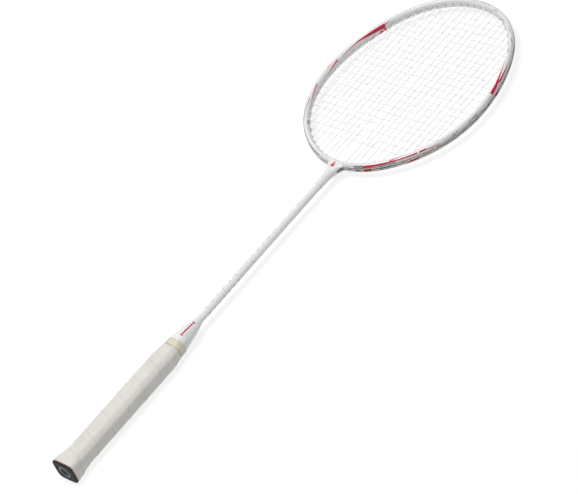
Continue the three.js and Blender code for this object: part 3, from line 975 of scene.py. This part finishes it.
def round_rings(profile, sides):
    """Circles about the shaft's line, one for each (x, radius) pair."""
    turn = np.arange(sides) * FULL / sides
    y, z = np.cos(turn), np.sin(turn)
    return [np.stack([np.full(sides, x), radius * y, radius * z], -1) for x, radius in profile]


def make_shaft():
    """The tube's wall: out along its outside and back along its bore."""
    x = np.linspace(shaft_low[0], shaft_high[0], 90)
    profile = [(at, SHAFT_RADIUS) for at in x] + [(at, SHAFT_BORE_RADIUS) for at in x[::-1]]
    rings = round_rings(profile, 64)
    dashes = [(212 + 7.5 * k, 216 + 7.5 * k, 196, 196, 10, 10) for k in range(7)]
    dashes += [(214 + 9 * k, 217 + 9 * k, 74, 74, 7, 7) for k in range(12)]
    ticks = [(270 + 13 * k, 276 + 13 * k, 66, 66, 5, 5) for k in range(8)]
    paint = shaft_paint("shaft_paint", ticks, dashes, ROSE)
    shaft = skin("shaft_tube_smooth", rings, closed=True, material=paint)
    place(shaft, "shaft_paint", "shaft_tube")


def hoop_face_x(y, z):
    """X of the hoop's outer surface near the throat, at a place across the shaft's line."""
    turns = np.linspace(math.pi - 0.3, math.pi + 0.3, 241)
    height = min(abs(z) / HOOP_HALF_DEPTH, 0.995)
    rounding = (1 - height**SECTION_POWER) ** (1 / SECTION_POWER)
    face = hoop_point(turns, HOOP_THICKNESS / 2 * (1 + rounding))
    return np.interp(y, face[::-1, 1], face[::-1, 0])


def softened(values):
    """A row of values smoothed with a short tent, its ends held."""
    tent = np.array([1, 2, 3, 4, 3, 2, 1]) / 16
    return np.convolve(np.pad(values, 3, mode="edge"), tent, "valid")


def make_throat():
    """The moulded joint: a round sleeve that spreads into wings on the hoop's outer wall."""
    start = joint_low[0]
    turn = np.arange(72) * FULL / 72
    past_start, half_width, half_depth = np.array(THROAT_PROFILE).T
    along = np.linspace(0, past_start[-1], 60)
    wide = softened(np.interp(along, past_start, half_width))
    deep = softened(np.interp(along, past_start, half_depth))
    rings = []
    for k, part in enumerate(np.linspace(0, 1, 60)):
        power = 2 + 1.1 * ease((part - 0.35) / 0.6)
        y = wide[k] * boxed(np.cos(turn), power)
        z = deep[k] * boxed(np.sin(turn), power)
        ends = np.array([hoop_face_x(a, b) for a, b in zip(y, z)]) + HOOP_BITE
        straight = start + along[k]
        rings.append(np.stack([np.minimum(straight, ends), y, z], -1))
        if np.all(straight >= ends):
            break
    joint = skin("throat_joint_smooth", rings)
    bore = [(start - 2, SHAFT_RADIUS + 0.02), (shaft_high[0] + 0.3, SHAFT_RADIUS + 0.02)]
    cut(joint, skin("shaft_room", round_rings(bore, 48)))
    start_x, end_x = THROAT_SLOT_X
    depth = THROAT_SLOT_HALF_DEPTH
    for side in (-1, 1):
        near, far = (side * y for y in THROAT_SLOT_Y)
        cut(joint, skin("slot_room", box_rings((start_x, near, -depth), (end_x, far, depth))))
    joint.data.materials.clear()
    joint.data.materials.append(throat_paint())
    smooth(joint.data, 38)
    place(joint, "frame_paint", "throat_joint")


def box_rings(low, high):
    """A box as two four-sided rings."""
    (x0, y0, z0), (x1, y1, z1) = low, high
    corners = [(y0, z0), (y1, z0), (y1, z1), (y0, z1)]
    return [[(x, y, z) for y, z in corners] for x in (x0, x1)]


# ---- handle -------------------------------------------------------------------------------------


def eight_sided(turn, corner_cut, power):
    """Radius of a rectangle with cut and rounded corners whose half width is 1."""
    bevel = (2 - corner_cut) / math.sqrt(2)
    total = 0
    for k in range(8):
        facing = np.clip(np.cos(turn - k * math.pi / 4), 0, None)
        total = total + (facing / (1 if k % 2 == 0 else bevel)) ** power
    return total ** (-1 / power)


def handle_ring(x, half, turn, corner_cut=CORNER_CUT, power=18, roundness=0.0):
    """A ring of the handle's section, which a roundness of 1 makes a circle."""
    radius = half * (eight_sided(turn, corner_cut, power) * (1 - roundness) + roundness)
    squash = HANDLE_FLATNESS + (1 - HANDLE_FLATNESS) * roundness
    x = np.broadcast_to(x, turn.shape)
    return np.stack([x, radius * np.cos(turn), radius * squash * np.sin(turn)], -1)


def grip_half(x):
    flare = GRIP_FLARE * np.clip(1 - x / FLARE_LENGTH, 0, 1) ** 1.25
    past_start = x - grip_high[0] + GRIP_TAPER_LENGTH
    taper = 2 * GRIP_END_TAPER * ease(past_start / (2 * GRIP_TAPER_LENGTH))
    return GRIP_HALF_WIDTH + flare - taper


def lumps_round(x, turn, size_x, size_round):
    """Soft noise on a ring at X, for a hand-wound surface."""
    places = [(x * size_x, size_round * math.cos(t), size_round * math.sin(t)) for t in turn]
    return np.array([noise.noise(Vector(place_at)) for place_at in places])


def make_grip():
    """The wrap: a tape wound in a spiral, with an overlap step at each turn and soft folds."""
    sides, count = 144, 330
    turn = np.arange(sides) * FULL / sides
    x = np.linspace(grip_low[0], grip_high[0], count)
    rings, seams = [], []
    for at in x:
        phase = (at / WRAP_PITCH + turn / FULL) % 1.0
        distance = np.minimum(phase, 1 - phase) * WRAP_PITCH
        valley = np.exp(-((distance / 0.45) ** 2))
        step = 0.3 * np.exp(-phase * WRAP_PITCH / 2.6) - 0.16 * valley
        seams.append(valley)
        grain = lumps_round(at, turn, 0.3, 2.6)
        fold = 0.34 * math.exp(-(((at - 17) / 4.5) ** 2)) * np.sin(5 * turn + at * 0.32) ** 3
        fold += 0.22 * math.exp(-(((at - 8) / 4) ** 2)) * np.sin(3 * turn - at * 0.25)
        edge = 0.45 * (math.exp(-(at - x[0]) / 0.5) + math.exp(-(x[-1] - at) / 0.5))
        near_butt = float(ease(1 - at / FLARE_LENGTH))
        cut_here = CORNER_CUT + (BUTT_CORNER_CUT - CORNER_CUT) * near_butt
        half = grip_half(at) + step - 0.12 + 0.1 * grain + fold - edge
        rings.append(handle_ring(at, half, turn, cut_here, 18 - 6 * near_butt))
    inner = [handle_ring(at, grip_half(at) - GRIP_THICKNESS, turn) for at in x[::-12]]
    grip = skin("grip_wrap_wound", rings + inner, closed=True, material=grip_leather(), sharp=50)
    held = grip.data.attributes.new("seam", "FLOAT", "POINT")
    values = np.concatenate([np.array(seams).ravel(), np.zeros(len(inner) * sides)])
    held.data.foreach_set("value", values.astype(np.float32))
    place(grip, "grip_leather", "grip_wrap")


def make_cap():
    """The butt cap: a dished end face, a rounded rim with a thin band, and a skirt in the grip."""
    black, dark = (0.006, 0.006, 0.007), (0.012, 0.012, 0.013)
    rubber = plastic("cap_rubber", black, dark, 0.55, 1.0, 4.0, Specular_IOR_Level=0.2)
    turn = np.arange(96) * FULL / 96
    near = {"corner_cut": BUTT_CORNER_CUT, "power": 12}
    rim = CAP_FACE_HALF_WIDTH
    shape = [(0.55, 3.0), (0.55, BADGE_OUTER_RADIUS + 0.5), (0.3, BADGE_OUTER_RADIUS + 1.0)]
    shape += [(0.0, rim - 2.2), (0.0, rim - 1.0), (0.12, rim - 0.4), (0.45, rim - 0.1)]
    shape += [(0.9, rim), (CAP_FLANGE, rim), (CAP_FLANGE + 0.05, rim - 1.0)]
    skirt = grip_half(CAP_DEPTH) - 2.0
    shape += [(CAP_DEPTH, skirt), (CAP_DEPTH, skirt - 1.2), (CAP_FLOOR, rim - 3.2)]
    shape += [(CAP_FLOOR, 3.0)]
    rings = [handle_ring(x, half, turn, **near) for x, half in shape]
    cap = skin("butt_cap_moulded", rings, material=rubber, sharp=50)
    place(cap, "cap_plastic", "butt_cap")
    trim = plastic("cap_edge", (0.3, 0.1, 0.07), (0.24, 0.09, 0.07), 0.5)
    edge = [(CAP_FLANGE - 0.75, rim + 0.02), (CAP_FLANGE - 0.6, rim + 0.16)]
    edge += [(CAP_FLANGE - 0.1, rim + 0.16), (CAP_FLANGE, rim - 0.2)]
    rings = [handle_ring(x, half, turn, **near) for x, half in edge]
    place(skin("butt_edge_band", rings, closed=True, material=trim), "cap_plastic")


def make_badge():
    """A plain ring let into the cap's end face, with softened edges."""
    grey = plastic("badge_grey", (0.07, 0.09, 0.1), (0.05, 0.065, 0.075), 0.45, 0.4)
    inner, outer = BADGE_INNER_RADIUS, BADGE_OUTER_RADIUS
    shape = [(0.6, inner), (0.12, inner), (0.0, inner + 0.3)]
    shape += [(0.0, outer - 0.3), (0.12, outer), (0.6, outer)]
    badge = skin("butt_badge_ring", round_rings(shape, 96), closed=True, material=grey)
    place(badge, "badge_plastic", "butt_badge")


def make_cone():
    """The cone: from the handle's section under the tape to a round lip on the shaft."""
    turn = np.arange(96) * FULL / 96
    start, end = cone_low[0], cone_high[0]
    tape_end = tape_high[0]
    lip_start = end - CONE_LIP_LENGTH
    profile = [(start, CONE_BASE_HALF_WIDTH), (tape_end, CONE_BASE_HALF_WIDTH)]
    profile += [*CONE_PROFILE, (lip_start, CONE_LIP_HALF_WIDTH)]
    places, halves = np.array(profile).T
    x = np.linspace(start, lip_start, 60)
    stepped = np.pad(np.interp(x, places, halves), 3, mode="edge")
    half = np.convolve(stepped, np.ones(7) / 7, "valid")
    half[0] = CONE_BASE_HALF_WIDTH
    rings = []
    for at, reach in zip(x, half):
        rings.append(handle_ring(at, reach, turn, roundness=float(ease((at - tape_end) / 13))))
    lip = [(end - 0.9, 4.5), (end - 0.3, CONE_LIP_HALF_WIDTH), (end, 4.2)]
    lip += [(end, CONE_BORE_RADIUS), (start, CONE_BORE_RADIUS)]
    for at, radius in lip:
        rings.append(handle_ring(at, radius, turn, roundness=1.0))
    bar = [(175.5, 193.5, 108, 108, 5, 7), (174.5, 175.6, 108, 108, 13, 13)]
    bar += [(193.5, 194.6, 108, 108, 16, 16)]
    paint = shaft_paint("cone_paint", bar)
    cone = skin("cone_cap_smooth", rings, closed=True, material=paint)
    place(cone, "cone_plastic", "cone_cap")


def make_tape():
    """Finishing tape: one and a bit turns, whose free end leaves a slanted step."""
    turn = np.arange(120) * FULL / 120
    x = np.linspace(tape_low[0], tape_high[0], 26)
    rings = []
    for at in x:
        part = (at - x[0]) / (x[-1] - x[0])
        fold = ((turn - 1.35 - 0.55 * part) % FULL) / FULL
        lap = 0.28 * ease(1 - fold * 7) * ease(fold * 60)
        lumps = lumps_round(at, turn, 0.25, 2)
        edge = 0.22 * (math.exp(-(at - x[0]) / 0.35) + math.exp(-(x[-1] - at) / 0.35))
        half = TAPE_HALF_WIDTH - 0.1 * part + lap + 0.12 * lumps - edge
        rings.append(handle_ring(at, half, turn, power=14, roundness=0.15 * part))
    inner = [handle_ring(at, TAPE_INNER_HALF_WIDTH, turn) for at in (x[-1], x[0])]
    tape = skin("finishing_tape_wound", rings + inner, closed=True, material=tape_cloth(), sharp=50)
    place(tape, "tape", "finishing_tape")


# ---- studio -------------------------------------------------------------------------------------


def make_camera():
    data = bpy.data.cameras.new("camera")
    data.lens = CAMERA_LENS
    data.sensor_width = 36
    data.clip_end = 20
    camera = bpy.data.objects.new("camera", data)
    bpy.context.scene.collection.objects.link(camera)
    place_at = Vector(CAMERA_PLACE)
    ahead = (Vector(CAMERA_AIM) - place_at).normalized()
    level = ahead.cross(Vector((0, 0, 1))).normalized()
    right = Matrix.Rotation(CAMERA_ROLL, 3, ahead) @ level
    up = right.cross(ahead)
    turned = Matrix((right, up, -ahead)).transposed().to_4x4()
    camera.matrix_world = Matrix.Translation(place_at) @ turned
    bpy.context.scene.camera = camera


def add_light(name, place_at, aim, size, power):
    """A round soft light that faces a point."""
    data = bpy.data.lights.new(name, "AREA")
    data.shape = "DISK"
    data.size = size
    data.energy = power
    light = bpy.data.objects.new(name, data)
    bpy.context.scene.collection.objects.link(light)
    turned = (Vector(place_at) - Vector(aim)).to_track_quat("Z", "Y").to_matrix().to_4x4()
    light.matrix_world = Matrix.Translation(place_at) @ turned


def make_studio():
    reach = 4000
    floor_z = cad_box[0].z / MM - FLOOR_GAP
    corners = [(-reach, -reach), (reach, -reach), (reach, reach), (-reach, reach)]
    rings = [[(x, y, z) for x, y in corners] for z in (floor_z - 20, floor_z)]
    skin("studio_floor", rings, material=floor_paint())
    world = bpy.data.worlds.new("studio")
    bpy.context.scene.world = world
    world.use_nodes = True
    background = world.node_tree.nodes["Background"].inputs
    background["Color"].default_value = (1, 1, 1, 1)
    background["Strength"].default_value = WORLD_STRENGTH
    add_light("key", (0.1, 0.1, 1.95), aim=(0.35, 0, 0), size=1.1, power=40)
    add_light("fill", (1.2, 1.4, 1.2), aim=(0.4, 0, 0), size=1.0, power=4)
    bpy.context.scene.view_settings.view_transform = "Standard"


make_camera()
make_studio()
make_hoop()
make_grommets()
make_strings()
make_throat()
make_shaft()
make_cone()
make_tape()
make_grip()
make_cap()
make_badge()
for half in ("handle_half_upper", "handle_half_lower"):
    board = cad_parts[half]
    board.data.materials.clear()
    board.data.materials.append(wood())
